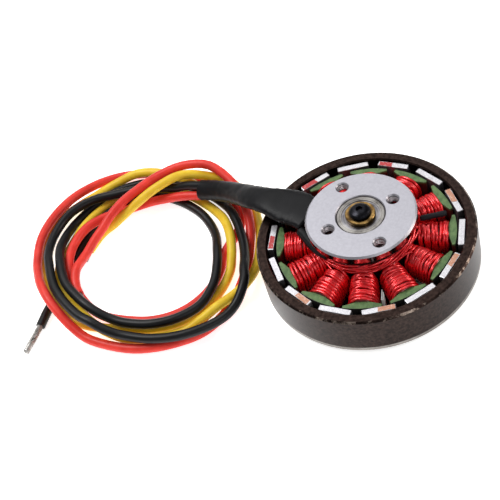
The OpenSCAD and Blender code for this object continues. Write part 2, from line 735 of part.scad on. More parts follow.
// Crown cage of a bearing that starts at z, open on its upper side
module cage(z) {
    pocket_r = ball_d / 2 + pocket_gap;
    middle = z + bearing_w / 2;
    color("#a8864a") difference() {
        translate([0, 0, middle - pocket_r - cage_floor])
            annulus(race_pitch_r - cage_half_w, race_pitch_r + cage_half_w, pocket_r + cage_floor + cage_rise);
        for (i = [0:ball_count - 1])
            rotate([0, 0, 360 * i / ball_count])
                translate([race_pitch_r, 0, middle]) sphere(r = pocket_r, $fn = 32);
    }
}

// Both shields of a bearing that starts at z
module shields(z) {
    color("#aeb0b4") for (low = [z + shield_sink, z + bearing_w - shield_sink - shield_t])
        translate([0, 0, low])
            annulus(race_pitch_r - land_half + shield_gap, race_pitch_r + land_half - press_gap, shield_t);
}

// Shaft with its tapped upper end
module shaft() {
    color("#bfc1c4") difference() {
        rotate_extrude() polygon([
            [0, shaft_z],
            [shaft_r - shaft_bevel, shaft_z],
            [shaft_r, shaft_z + shaft_bevel],
            [shaft_r, shaft_top - shaft_bevel],
            [shaft_r - shaft_bevel, shaft_top],
            [0, shaft_top]
        ]);
        translate([0, 0, screw_bottom - screw_tap_extra])
            cylinder(r = screw_d / 2 + screw_thread_gap, h = screw_l + screw_tap_extra + overrun);
    }
}

// Brass collar on the upper bearing's inner race
module collar() {
    bore_r = shaft_r + press_gap;
    color("#c9a544") rotate_extrude() polygon([
        [bore_r, base_bearing_top],
        [collar_d / 2, base_bearing_top],
        [collar_d / 2, collar_top - collar_bevel],
        [collar_d / 2 - collar_bevel, collar_top],
        [bore_r, collar_top]
    ]);
}

// Cap screw in the end of the shaft
module cap_screw() {
    color("#26262a") difference() {
        rotate_extrude() polygon([
            [0, screw_bottom],
            [screw_d / 2, screw_bottom],
            [screw_d / 2, collar_top],
            [screw_head_d / 2, collar_top],
            each [for (i = [0:screw_dome_steps]) let (a = 90 * i / screw_dome_steps) [
                screw_head_d / 2 * cos(a),
                collar_top + screw_edge_h + (screw_head_h - screw_edge_h) * sin(a)
            ]]
        ]);
        translate([0, 0, collar_top + screw_head_h - key_depth])
            cylinder(r = screw_key / sqrt(3), h = key_depth + overrun, $fn = 6);
    }
}

// Washer between the hub and the lower bearing's inner race
module hub_spacer() {
    color("#9fa1a5") translate([0, 0, boss_top]) annulus(shaft_r + press_gap, spacer_r, spacer_h);
}

base_mount();
stator_core();
crossover_bundle();
star_joint();
slot_liner();
phase_sleeve();
lead_sleeve();
lead(red_route, "#e8473f");  // lead_red
lead(yellow_route, "#e6c83a");  // lead_yellow
lead(black_route, "#1c1c1e");  // lead_black
lead_tip(red_route, red_tip);  // tip_red
lead_tip(yellow_route, yellow_tip);  // tip_yellow
lead_tip(black_route, black_tip);  // tip_black
flux_ring();
bell_cover();
shaft();
collar();
cap_screw();
hub_spacer();
outer_race(base_bearing_z);  // base_bearing_outer
inner_race(base_bearing_z);  // base_bearing_inner
balls(base_bearing_z);  // base_bearing_balls
cage(base_bearing_z);  // base_bearing_cage
shields(base_bearing_z);  // base_bearing_shields
outer_race(hub_bearing_z);  // hub_bearing_outer
inner_race(hub_bearing_z);  // hub_bearing_inner
balls(hub_bearing_z);  // hub_bearing_balls
cage(hub_bearing_z);  // hub_bearing_cage
shields(hub_bearing_z);  // hub_bearing_shields
for (i = [1:tooth_count])
    coil(i);
for (i = [1:magnet_count])
    magnet(i);
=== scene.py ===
# Brushless motor lying base up, with its three leads in loops on a white surface
import math
import random
import bpy
from mathutils import Matrix, Vector, noise


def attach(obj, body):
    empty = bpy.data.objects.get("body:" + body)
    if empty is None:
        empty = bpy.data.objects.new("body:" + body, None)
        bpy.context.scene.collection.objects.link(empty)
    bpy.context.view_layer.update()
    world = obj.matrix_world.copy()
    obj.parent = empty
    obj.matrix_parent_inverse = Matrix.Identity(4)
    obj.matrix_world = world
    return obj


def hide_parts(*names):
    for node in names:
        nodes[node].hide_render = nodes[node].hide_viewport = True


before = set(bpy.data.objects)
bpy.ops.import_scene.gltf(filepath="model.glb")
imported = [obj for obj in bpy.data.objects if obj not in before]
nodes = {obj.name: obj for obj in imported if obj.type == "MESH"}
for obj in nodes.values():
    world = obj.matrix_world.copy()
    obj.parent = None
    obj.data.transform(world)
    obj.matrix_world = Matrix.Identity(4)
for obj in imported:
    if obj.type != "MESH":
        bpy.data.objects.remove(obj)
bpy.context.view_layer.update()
mm = 0.001
upward, outward = Vector((0, 0, 1)), Vector((1, 0, 0))
print("frame loaded")

# camera: where the photograph was taken from
cameraSpot = {
    "azimuth": -15.8, "elevation": 50.41, "roll": -13.18,  # degrees
    "distance": 281.69, "aim": (0, 0, 2),                  # mm
    "lens": 87.48, "sensor": 36,                           # mm
    "aimPixel": (371.48, 261.44), "framePixels": 500,
    "clip": (0.01, 20),                                    # m
}


def placeCamera(spot):
    azimuth, elevation, roll = (math.radians(spot[k]) for k in ("azimuth", "elevation", "roll"))
    back = Vector((math.sin(azimuth) * math.cos(elevation),
                   -math.cos(azimuth) * math.cos(elevation), math.sin(elevation)))
    right = Vector((math.cos(azimuth), math.sin(azimuth), 0))
    up = back.cross(right)
    tiltedRight = math.cos(roll) * right + math.sin(roll) * up
    tiltedUp = -math.sin(roll) * right + math.cos(roll) * up
    # the aim point isn't in the middle of the picture, so the camera turns a little aside
    focal = spot["lens"] / spot["sensor"] * spot["framePixels"]
    across = (spot["aimPixel"][0] - spot["framePixels"] / 2) / focal
    down = (spot["aimPixel"][1] - spot["framePixels"] / 2) / focal
    ahead = Vector((0, 0, -1))
    turn = ahead.rotation_difference(Vector((across, -down, -1)).normalized()).to_matrix()
    facing = Matrix((tiltedRight, tiltedUp, back)).transposed() @ turn.inverted()
    data = bpy.data.cameras.new("photoCamera")
    data.lens = spot["lens"]
    data.sensor_width = spot["sensor"]
    data.clip_start, data.clip_end = spot["clip"]
    camera = bpy.data.objects.new("photoCamera", data)
    place = (Vector(spot["aim"]) + back * spot["distance"]) * mm
    camera.matrix_world = Matrix.Translation(place) @ facing.to_4x4()
    bpy.context.collection.objects.link(camera)
    bpy.context.scene.camera = camera


placeCamera(cameraSpot)
print("camera placed")


# colours and nodes
def linear(hexColour):
    # sRGB hex to Blender's linear colour
    parts = [int(hexColour[i:i + 2], 16) / 255 for i in (1, 3, 5)]
    return tuple(c / 12.92 if c <= 0.04045 else ((c + 0.055) / 1.055) ** 2.4 for c in parts) + (1.0,)


def perSize(sizeMm):
    # texture scale for a feature of a real size
    return 1 / (sizeMm * mm)


def startMaterial(name, shaderValues):
    material = bpy.data.materials.new(name)
    material.use_nodes = True
    shader = material.node_tree.nodes["Principled BSDF"]
    for socket, value in shaderValues.items():
        shader.inputs[socket].default_value = value
    return material, shader


def addNode(material, kind, settings=None, links=None):
    # settings go to the node or to its sockets, links are {socket of this node: output it takes}
    node = material.node_tree.nodes.new(kind)
    for key, value in (settings or {}).items():
        if isinstance(key, str) and hasattr(node, key):
            setattr(node, key, value)
        else:
            node.inputs[key].default_value = value
    for key, output in (links or {}).items():
        material.node_tree.links.new(output, node.inputs[key])
    return node


def join(material, output, socket):
    material.node_tree.links.new(output, socket)


def setStops(ramp, *stops):
    # stops are (position, hex colour)
    for element, (position, colour) in zip(ramp.color_ramp.elements, stops):
        element.position = position
        element.color = linear(colour)


def mottled(name, shaderValues, patches, low, high, relief=None):
    # colour goes from low to high, each a (position, hex colour), with a noise whose settings are patches
    # relief is (settings of another noise, or None for the same one, strength, depth in mm)
    material, shader = startMaterial(name, shaderValues)
    place = addNode(material, "ShaderNodeTexCoord").outputs["Object"]
    texture = addNode(material, "ShaderNodeTexNoise", patches, {"Vector": place})
    ramp = addNode(material, "ShaderNodeValToRGB", None, {"Fac": texture.outputs["Fac"]})
    setStops(ramp, low, high)
    join(material, ramp.outputs["Color"], shader.inputs["Base Color"])
    if relief:
        grain, strength, depth = relief
        if grain:
            texture = addNode(material, "ShaderNodeTexNoise", grain, {"Vector": place})
        bump = addNode(material, "ShaderNodeBump", {"Strength": strength, "Distance": depth * mm},
                       {"Height": texture.outputs["Fac"]})
        join(material, bump.outputs["Normal"], shader.inputs["Normal"])
    return material


# shapes
def unit(vector):
    return vector.normalized()


def heading(path, i, closed=False):
    # direction of a path at one of its points
    if closed:
        return unit(path[(i + 1) % len(path)] - path[i - 1])
    return unit(path[min(i + 1, len(path) - 1)] - path[max(i - 1, 0)])


def curveThrough(rows, steps):
    # smooth curve through every row, the same as the solids follow
    points = []
    for i in range(len(rows) - 1):
        a, b, c, d = (rows[j] for j in (max(i - 1, 0), i, i + 1, min(i + 2, len(rows) - 1)))
        for k in range(steps):
            u = k / steps
            points.append([(2 * q + (r - p) * u + (2 * p - 5 * q + 4 * r - s) * u ** 2
                            + (3 * q - p - 3 * r + s) * u ** 3) / 2 for p, q, r, s in zip(a, b, c, d)])
    points.append(list(rows[-1]))
    return points


def polar(radius, degrees, z=0.0):
    return Vector((radius * math.cos(math.radians(degrees)), radius * math.sin(math.radians(degrees)), z))


def roundedSquare(angle, squareness):
    # point of a square with half width 1 and round corners; a squareness of 2 gives a circle
    c, s = math.cos(angle), math.sin(angle)
    power = 2 / squareness
    return math.copysign(abs(c) ** power, c), math.copysign(abs(s) ** power, s)


def turnTo(shape, index):
    # turn about the motor's axis to one place of a row of equal pieces
    return Matrix.Rotation(math.radians(shape["firstAngle"] + 360 * (index - 1) / shape["count"]), 3, "Z")


def skinFaces(ringCount, sides, first=0, closed=False):
    # quads between rings of equally many points, with end caps on an open skin
    faces = []
    for i in range(ringCount if closed else ringCount - 1):
        low, high = first + i * sides, first + (i + 1) % ringCount * sides
        for j in range(sides):
            k = (j + 1) % sides
            faces.append((low + j, low + k, high + k, high + j))
    if not closed:
        faces.append(tuple(first + j for j in reversed(range(sides))))
        last = first + (ringCount - 1) * sides
        faces.append(tuple(last + j for j in range(sides)))
    return faces


def addWire(points, faces, path, radius, sides, guide, closed=False):
    # round wire along a path, added to points and faces; guide is a direction that the path never follows
    faces.extend(skinFaces(len(path), sides, len(points), closed))
    for i, centre in enumerate(path):
        along = heading(path, i, closed)
        side = unit(guide - guide.dot(along) * along)
        up = along.cross(side)
        thick = radius[i] if isinstance(radius, list) else radius
        for j in range(sides):
            angle = math.tau * j / sides
            points.append(centre + thick * (math.cos(angle) * side + math.sin(angle) * up))


def meshPiece(name, points, faces, materials, body, replaced=(), looks=None, smooth=True):
    # points in mm, in the frame of the CAD model; looks gives the number of each face's material
    data = bpy.data.meshes.new(name)
    data.from_pydata([(x * mm, y * mm, z * mm) for x, y, z in points], [], faces)
    for material in materials:
        data.materials.append(material)
    if looks:
        data.polygons.foreach_set("material_index", looks)
    data.polygons.foreach_set("use_smooth", [smooth] * len(data.polygons))
    data.update()
    piece = bpy.data.objects.new(name, data)
    bpy.context.collection.objects.link(piece)
    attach(piece, body)
    if replaced:
        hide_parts(*replaced)
    return piece


def tubePiece(name, path, thick, sides, material, replaced):
    points, faces = [], []
    addWire(points, faces, path, thick, sides, upward)
    return meshPiece(name, points, faces, [material], "stator", [replaced])


# leads
# silicone rubber, extruded: soft satin skin, a little cloudy, with a faint dusty grain
def siliconeRubber(name, skin, shade):
    return mottled(name, {"Roughness": 0.36, "IOR": 1.41, "Specular IOR Level": 0.35},
                   {"Scale": perSize(5), "Detail": 3, "Roughness": 0.6}, (0.35, shade), (0.65, skin),
                   ({"Scale": perSize(0.35), "Detail": 2}, 0.12, 0.02))


# bare copper strands dipped in solder: dull silver with a trace of copper
tinnedStrands = mottled("tinnedStrands", {"Metallic": 1.0, "Roughness": 0.33},
                        {"Scale": perSize(0.8), "Detail": 3}, (0.38, "#7f7c78"), (0.62, "#bdbab6"))

leadShape = {
    "diameter": 2.3, "loopCentre": (-46, 32), "layerRise": 2.6,   # mm
    "stepsPerRow": 4, "roundness": 6,
    "reach": 0.8, "exit": (-26.5, 40.8, 5.3),                     # mm, reach into the sleeve
}
# each row: angle round the loops' centre in degrees, radius in mm, layer above the floor
leadRoutes = {
    "red": [
        [23, 20.4, 1.3], [38, 18.2, 1.1], [52, 17.4, 0.7], [66, 17.5, 0.3], [80, 17.5, 0.1],
        [95, 17.4, 0.3], [110, 17.7, 0.8], [125, 18.7, 1], [140, 19.2, 1], [155, 19.3, 1],
        [169, 19.1, 0.8], [180, 19, 0.3], [190, 18.9, 0], [205, 19.1, 0], [220, 19.2, 0],
        [240, 19.3, 0], [255, 20, 0], [270, 20.6, 0], [285, 20.8, 0], [300, 20.6, 0],
        [315, 20, 0], [328, 19.5, 0], [338, 20.8, 0], [346, 22.8, 0], [354, 24.5, 0],
        [364, 25.5, 0], [378, 26.2, 0], [395, 26.5, 0], [410, 27, 0], [425, 28, 0],
        [440, 29.6, 0], [450, 30.5, 0.1], [460, 30.2, 0.5], [472, 29.7, 0.9], [486, 29.4, 1],
        [500, 28.9, 1], [515, 27.7, 1], [527, 26.7, 1.4], [536, 26.2, 1.8], [546, 25.9, 1.8],
        [556, 25.8, 1.3], [568, 26, 0.5], [580, 26.3, 0], [600, 27.1, 0], [615, 27.9, 0],
        [630, 28.8, 0], [640, 29.2, 0], [650, 28.7, 0], [660, 27.8, 0], [670, 26.8, 0],
        [680, 26.2, 0], [692, 25.9, 0.1], [706, 26.5, 0.7], [720, 27, 1.1], [734, 27.7, 1.6],
        [750, 27.4, 2.4], [765, 25, 2.4], [780, 21.6, 2.1], [795, 18.1, 2], [810, 16, 1.9],
        [825, 14.8, 1.6], [840, 14.2, 1.2], [855, 14.4, 1], [870, 15.1, 0.9], [882, 16, 1.2],
        [892, 17, 1.6], [900, 18, 1.5], [908, 18.8, 1.3],
    ],
    "yellow": [
        [26, 22.6, 1.3], [36, 22.7, 1.1], [45, 23.7, 1.1], [60, 25.3, 1.05], [75, 27.2, 0.8],
        [90, 28, 0.1], [100, 27.8, 0], [110, 28.3, 0], [120, 29.1, 0], [130, 29.2, 0],
        [140, 28.6, 0], [150, 27.4, 0], [160, 26, 0.2], [169, 24.9, 0.7], [180, 24.6, 1],
        [190, 24.4, 0.7], [200, 24.1, 0.1], [210, 23.3, 0], [220, 22.4, 0], [230, 21.9, 0],
        [240, 21.8, 0], [255, 22.5, 0], [270, 23.3, 0], [285, 23.6, 0], [300, 23.3, 0],
        [315, 22.7, 0.1], [327, 22.1, 0.7], [337, 21.6, 1], [348, 21.1, 1], [358, 20.7, 0.8],
        [368, 20.5, 0.3], [380, 20.5, 0], [400, 21, 0], [420, 22.1, 0], [435, 22.7, 0],
        [450, 22.9, 0], [465, 22.4, 0], [480, 21.9, 0], [495, 21.4, 0], [508, 21.4, 0.3],
        [518, 21.7, 0.8], [528, 21.7, 1], [540, 21.8, 1], [555, 21.8, 1], [565, 22, 1],
        [574, 22.8, 1.1], [582, 23.6, 0.95], [590, 24.2, 0.6], [600, 24.6, 0.1], [615, 25.3, 0],
        [630, 26.2, 0], [640, 26.8, 0.5], [650, 27.6, 1], [660, 28.5, 0.9], [670, 29, 0.7],
        [680, 28.7, 0.2], [692, 28.3, 0], [705, 28.4, 0], [722, 29, 0.1], [735, 28.9, 0.4],
        [742, 28.2, 0.9], [750, 25.8, 1.5], [758, 23.2, 2.2], [766, 20.9, 2.4], [780, 17.3, 2.1],
        [795, 15.4, 1.5], [810, 14.7, 0.9], [825, 14.7, 0.4], [840, 15.6, 0.1], [860, 16, 0],
    ],
    "black": [
        [25, 21.5, 2.15], [36, 20.4, 1.8], [46, 19.8, 1.4], [60, 20.3, 1.1], [75, 20.9, 1],
        [90, 21.9, 1], [105, 24.3, 1.05], [120, 25.7, 1.15], [135, 25.7, 1.1], [150, 24.7, 1.5],
        [162, 23.6, 1.9], [180, 23.3, 2], [195, 23.4, 2], [210, 24, 2], [220, 24.4, 2],
        [230, 25, 1.5], [240, 25.5, 1.1], [255, 27.3, 1], [270, 29.3, 1], [285, 31, 1],
        [295, 31.2, 1.2], [305, 30.1, 1.8], [313, 27.9, 1.7], [321, 26.4, 1.3], [332, 24.9, 1.05],
        [345, 23.8, 1], [354, 23.4, 1], [362, 23.3, 0.7], [372, 23.3, 0.2], [385, 23.3, 0],
        [405, 24, 0], [420, 24.7, 0], [435, 25.3, 0], [450, 25.5, 0], [465, 25, 0],
        [480, 24.5, 0.05], [488, 23.8, 0.35], [496, 22.7, 0.9], [508, 21.9, 1.4], [520, 20.9, 1.8],
        [532, 20.5, 2], [545, 20.5, 2], [560, 20.4, 2], [570, 20.7, 1.95], [580, 21, 1.6],
        [590, 21.3, 1.2], [600, 21.9, 1.05], [615, 23, 1], [630, 23.9, 1], [645, 24.1, 1],
        [660, 22.2, 1], [675, 19.9, 1], [690, 18.3, 0.8], [705, 17.7, 0.3], [720, 17.5, 0],
        [735, 17.6, 0], [750, 17.9, 0], [765, 18.6, 0], [780, 19.6, 0], [795, 20.1, 0],
        [810, 20.2, 0], [825, 19.8, 0], [840, 19.2, 0], [855, 18.6, 0], [868, 18.8, 0],
        [879, 19.4, 0], [889, 21.4, 0], [898, 24.2, 0], [905, 27.5, 0], [911, 30.8, 0],
    ],
}
leadEnds = {
    # rubber left on past the last row, mm; whole length, m
    "red": {"tip": [919, 19.6, 1.1], "overlap": 2.0, "length": 0.364},
    "yellow": {"tip": [872, 16.3, 0], "overlap": 0, "length": 0.352},
    "black": {"tip": [918, 37.5, 0], "overlap": 0, "length": 0.364},
}
leadSkins = {
    "red": siliconeRubber("siliconeRed", "#ef4339", "#da352c"),
    "yellow": siliconeRubber("siliconeYellow", "#f6d43e", "#e8bd2e"),
    "black": siliconeRubber("siliconeBlack", "#151517", "#0c0c0e"),
}


def leadPoint(row):
    angle = math.radians(row[0])
    return Vector((leadShape["loopCentre"][0] + row[1] * math.cos(angle),
                   leadShape["loopCentre"][1] + row[1] * math.sin(angle),
                   leadShape["diameter"] / 2 + leadShape["layerRise"] * row[2]))


def rubberEnd(colour):
    last, tip = leadPoint(leadRoutes[colour][-1]), leadPoint(leadEnds[colour]["tip"])
    return last + leadEnds[colour]["overlap"] * unit(tip - last)


# bare end of a lead: strands that leave the rubber, twist together and end in a solder dip
strandShape = {
    "diameter": 0.3, "sides": 6, "steps": 18,             # mm
    "rings": ((1, 0.0), (6, 0.3), (11, 0.58)),            # strands and radius of a ring, mm
    "twist": 300, "twistLength": 8,                       # degrees in that many mm
    "uneven": 0.1, "bulge": 0.12, "fray": (0.92, 1.12),   # radians, shares of the radius
    "inside": 0.4, "short": 0.2,                          # mm hidden in the rubber and the dip
}
dipShape = {
    "share": 0.42, "diameter": 1.5, "sides": 14, "steps": 14,   # share of the bare end; mm
    "neck": 0.55, "neckGrowth": 6,                              # width at its start, and how fast it fills
    "roundFrom": 0.82, "roundDepth": 0.036, "tipWidth": 0.12, "lump": 0.04, "lumpRate": 9,
}


def leadTip(colour):
    strand, dip = strandShape, dipShape
    start, end = rubberEnd(colour), leadPoint(leadEnds[colour]["tip"])
    along = unit(end - start)
    side = unit(upward.cross(along))
    up = along.cross(side)
    length = (end - start).length
    turns = math.radians(strand["twist"])
    draw = random.Random(len(colour))
    points, faces = [], []
    for count, ringRadius in strand["rings"]:
        for k in range(count):
            phase = math.tau * k / count + draw.uniform(-strand["uneven"], strand["uneven"])
            fray = draw.uniform(*strand["fray"])
            path = []
            for i in range(strand["steps"] + 1):
                share = i / strand["steps"]
                angle = phase + turns * share * length / strand["twistLength"]
                away = ringRadius * (1 + strand["bulge"] * math.sin(math.pi * share) * fray)
                run = -strand["inside"] + (length + strand["inside"] - strand["short"]) * share
                path.append(start + along * run + away * (math.cos(angle) * side + math.sin(angle) * up))
            addWire(points, faces, path, strand["diameter"] / 2, strand["sides"], upward)
    # solder dip: a lumpy round end over the twisted strands
    dipStart = length * (1 - dip["share"])
    path, thick = [], []
    for i in range(dip["steps"] + 1):
        share = i / dip["steps"]
        path.append(start + along * (dipStart + (length - dipStart) * share))
        rounding = max(1 - max(share - dip["roundFrom"], 0) ** 2 / dip["roundDepth"], dip["tipWidth"])
        edge = min(1.0, dip["neckGrowth"] * share + dip["neck"]) * math.sqrt(rounding)
        lumps = 1 + dip["lump"] * math.sin(dip["lumpRate"] * share + len(colour))
        thick.append(dip["diameter"] / 2 * edge * lumps)
    addWire(points, faces, path, thick, dip["sides"], upward)
    return meshPiece("lead_end_" + colour, points, faces, [tinnedStrands], "stator",
                     ["tip_" + colour])


def leadCurve(colour):
    route = [leadPoint(row) for row in leadRoutes[colour]]
    inside = route[0] - leadShape["reach"] * unit(route[1] - route[0])
    path = [inside] + curveThrough(route, leadShape["stepsPerRow"])
    if leadEnds[colour]["overlap"]:
        path.append(rubberEnd(colour))
    data = bpy.data.curves.new("lead_skin_" + colour, "CURVE")
    data.dimensions = "3D"
    data.bevel_depth = leadShape["diameter"] / 2 * mm
    data.bevel_resolution = leadShape["roundness"]
    data.use_fill_caps = True
    spline = data.splines.new("POLY")
    spline.points.add(len(path) - 1)
    for point, place in zip(spline.points, path):
        point.co = (place[0] * mm, place[1] * mm, place[2] * mm, 1)
    spline.use_smooth = True
    data.materials.append(leadSkins[colour])
    piece = bpy.data.objects.new("lead_skin_" + colour, data)
    bpy.context.collection.objects.link(piece)
    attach(piece, "stator")
    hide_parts("lead_" + colour)
    return piece


# shrink tube over the three leads: flat where it leaves the base, round at its open end
# polyolefin, shrunk: black satin with soft long highlights and faint wrinkles
def shrinkTube(name, skin, cloudy, roughness):
    return mottled(name, {"Roughness": roughness, "IOR": 1.5, "Specular IOR Level": 0.16},
                   {"Scale": perSize(6), "Detail": 2}, (0.3, skin), (0.75, cloudy),
                   ({"Scale": perSize(1.6), "Detail": 3, "Roughness": 0.55}, 0.25, 0.06))


sleeveBlack = shrinkTube("shrinkTubeBlack", "#0c0c0e", "#141417", 0.42)
sleeveShape = {
    # place x, y, z, width and height of each section, mm
    "rows": [
        [-8.65, 8.55, 14.9, 8.8, 2.8], [-10.2, 12.5, 14.9, 9.8, 3.0], [-12.6, 15.9, 14.8, 9.6, 3.0],
        [-15.6, 19.8, 14.7, 7.4, 3.2], [-17.8, 24.0, 13.2, 6.8, 3.6], [-19.1, 27.7, 11.2, 6.1, 4.4],
        [-21.0, 32.4, 8.8, 5.4, 5.0], [-23.4, 36.8, 6.8, 5.2, 5.2], [-26.5, 40.8, 5.3, 5.2, 5.2],
    ],
    "steps": 7, "sides": 56, "flatness": 0.9,                           # squareness added at the flat end
    "wall": 0.35, "rimInset": 0.14, "rimPush": 0.14, "mouthRings": 2,   # mm
    "ridge": 0.07, "ridgeTurn": 0.5, "crease": 0.05, "creaseAlong": 0.9, "creaseAround": 2.2,
}


def leadSleeve(shape):
    rows = curveThrough(shape["rows"], shape["steps"])
    last, sides = len(rows) - 1, shape["sides"]
    centres = [Vector(row[:3]) for row in rows]
    points = []

    def addRing(i, inset=0.0, push=0.0):
        along = heading(centres, i)
        side = unit(upward.cross(along))
        up = along.cross(side)
        halfWidth, halfHeight = rows[i][3] / 2 - inset, rows[i][4] / 2 - inset
        roundness = i / last
        for j in range(sides):
            angle = math.tau * j / sides
            x, y = roundedSquare(angle, 2 + shape["flatness"] * (1 - roundness))
            # three leads show as soft ridges where the tube has shrunk on them
            ridge = shape["ridge"] * roundness ** 0.5 * (math.cos(3 * angle + shape["ridgeTurn"]) - 1)
            seat = Vector((shape["creaseAlong"] * i, shape["creaseAround"] * math.cos(angle),
                           shape["creaseAround"] * math.sin(angle)))
            swell = 1 + ridge + shape["crease"] * noise.noise(seat)
            points.append(centres[i] + along * push + x * halfWidth * swell * side
                          + y * halfHeight * swell * up)

    for i in range(last + 1):
        addRing(i)
    # rim of the open end, then the inner wall back into the tube
    addRing(last, shape["rimInset"], shape["rimPush"])
    addRing(last, shape["wall"])
    addRing(last - shape["mouthRings"], shape["wall"])
    return meshPiece("lead_sleeve_tube", points, skinFaces(len(points) // sides, sides), [sleeveBlack],
                     "stator", ["lead_sleeve"])


leadSleeve(sleeveShape)
for colour in leadRoutes:
    cordPiece = leadCurve(colour)
    tipPiece = leadTip(colour)
print("leads laid out")


# coils
# polyurethane enamel on drawn copper: clear deep red that gives pink-white glints along each turn
def wireEnamel(name, bright, deep):
    return mottled(name, {"Metallic": 0.6, "Roughness": 0.26,
                          "Coat Weight": 0.6, "Coat Roughness": 0.12, "Coat IOR": 1.7},
                   {"Scale": perSize(1.1), "Detail": 3, "Roughness": 0.65}, (0.32, deep), (0.6, bright))


enamelRed = wireEnamel("wireEnamelRed", "#ff2a31", "#c80d18")
# the same enamel made darker: painted shade for the inner layers
enamelShadow = wireEnamel("wireEnamelInnerPaintedShade", "#7a0d14", "#3a060a")

coilShape = {
    "count": 12, "firstAngle": 2,                    # degrees
    "middle": 8.45, "inner": 11.35, "outer": 18.5,   # mm
    "halfWidthIn": 2.68, "halfWidthOut": 3.3, "halfHeight": 3.54, "squareness": 2.4,
    "crown": 0.55,                                   # mm that the inner end is piled higher
    "turns": 9.25, "wire": 0.7, "steps": 36, "sides": 10, "seed": 40,
    # how far turns stray along the tooth and outwards, and how fast that changes by turn and round a turn
    "stray": 0.4, "lift": 0.17, "strayByTurn": 0.8, "strayRound": 1.5, "liftRate": 1.7, "coilsApart": 9.1,
    # core of inner layers, drawn dark as painted shade
    "coreInset": 0.34, "coreEnd": 0.15, "coreSides": 36, "toothHalfWidth": 1.53, "toothHalfHeight": 3.03,
}
looseShape = {
    # strands of a coil's last layer, mm and radians
    "count": 5, "steps": 28, "clearIn": 0.5, "clearOut": 0.6, "drift": (0.5, 1.5), "past": (0.2, 0.9),
    "rise": 0.36, "arch": 1.15, "dip": 0.65,
}


def turnPlace(x, angle, rise):
    # point of a winding at a distance along its tooth and an angle round it
    shape = coilShape
    share = (x - shape["inner"]) / (shape["outer"] - shape["inner"])
    halfWidth = shape["halfWidthIn"] + (shape["halfWidthOut"] - shape["halfWidthIn"]) * share + rise
    across, high = roundedSquare(angle, shape["squareness"])
    halfHeight = shape["halfHeight"] + rise + (shape["crown"] * (1 - share) if high > 0 else 0)
    return Vector((x, across * halfWidth, high * halfHeight))


def coilWinding(index):
    shape, loose = coilShape, looseShape
    draw = random.Random(shape["seed"] + index)
    points, faces = [], []
    # one long wire, each turn a little off its neighbour
    path = []
    for n in range(int(shape["turns"] * shape["steps"]) + 1):
        turn = n / shape["steps"]
        angle = math.pi / 2 - math.tau * turn
        x = shape["inner"] + (shape["outer"] - shape["inner"]) * turn / shape["turns"]
        seat = Vector((turn * shape["strayByTurn"], shape["coilsApart"] * index,
                       shape["strayRound"] * math.sin(angle)))
        x += shape["stray"] * noise.noise(seat + Vector((0, 0, shape["strayRound"] * math.cos(angle))))
        lift = shape["lift"] * noise.noise(seat * shape["liftRate"] + Vector((0, 3, 0)))
        path.append(turnPlace(x, angle, lift))
    addWire(points, faces, path, shape["wire"] / 2, shape["sides"], outward)
    # strands of the last layer lie across the turns beneath and dip between them at both ends
    least, most = loose["past"]
    for _ in range(loose["count"]):
        x = draw.uniform(shape["inner"] + loose["clearIn"], shape["outer"] - loose["clearOut"])
        drift = draw.choice((-1, 1)) * draw.uniform(*loose["drift"])
        first, last = draw.uniform(-most, -least), math.pi + draw.uniform(least, most)
        path = []
        for n in range(loose["steps"] + 1):
            share = n / loose["steps"]
            reach = min(max(x + drift * (share - 0.5), shape["inner"]), shape["outer"])
            rise = loose["rise"] * (loose["arch"] * math.sin(math.pi * share) ** 0.5 - loose["dip"])
            path.append(turnPlace(reach, first + (last - first) * share, rise))
        addWire(points, faces, path, shape["wire"] / 2, shape["sides"], outward)
    # layers beneath: a dark red core of painted shade, which shows only between the turns
    looks = [0] * len(faces)
    sides = shape["coreSides"]
    faces.extend(skinFaces(4, sides, len(points), closed=True))
    looks += [1] * (len(faces) - len(looks))
    near, far = shape["inner"] - shape["coreEnd"], shape["outer"] + shape["coreEnd"]
    for onTooth, x in ((False, near), (False, far), (True, far), (True, near)):
        for j in range(sides):
            angle = math.tau * j / sides
            if onTooth:
                c, s = math.cos(angle), math.sin(angle)
                reach = min(shape["toothHalfWidth"] / max(abs(c), 1e-6),
                            shape["toothHalfHeight"] / max(abs(s), 1e-6))
                points.append(Vector((x, c * reach, s * reach)))
            else:
                points.append(turnPlace(x, angle, -shape["coreInset"]))
    turnToTooth, lift = turnTo(shape, index), Vector((0, 0, shape["middle"]))
    return meshPiece("coil_winding_%d" % index, [turnToTooth @ point + lift for point in points], faces,
                     [enamelRed, enamelShadow], "stator", ["coil_%d" % index], looks)


for index in range(1, coilShape["count"] + 1):
    coilWinding(index)
print("coils wound")

# wires that run round the post from coil to coil, and their ends down to the coils
bundleShape = {
    "radius": 11.0, "middle": 13.1, "spread": 1.05, "spreadAcross": 0.45, "wire": 0.5,   # mm
    "strands": 9, "sides": 7, "steps": 160, "twists": 2, "sway": 0.12, "phaseSway": 1.4, "seed": 7,
}
tailShape = {
    "lift": 0.3, "sweep": 26, "steps": 6,   # mm, degrees
    "liftShare": (0.3, 1.2), "start": (1, 4), "sweepShare": (0.8, 1.2),
    # radius, shares of the start and the sweep, height, share of the lift
    "rows": ((13.2, 0.8, 0, 11.9, 0), (12.4, 1, 0, 12.4, 0), (11.9, 1, 0.25, 12.6, 1),
             (11.6, 1, 0.6, 12.6, 0.5), (11.0, 1, 1, 12.5, 0)),
}


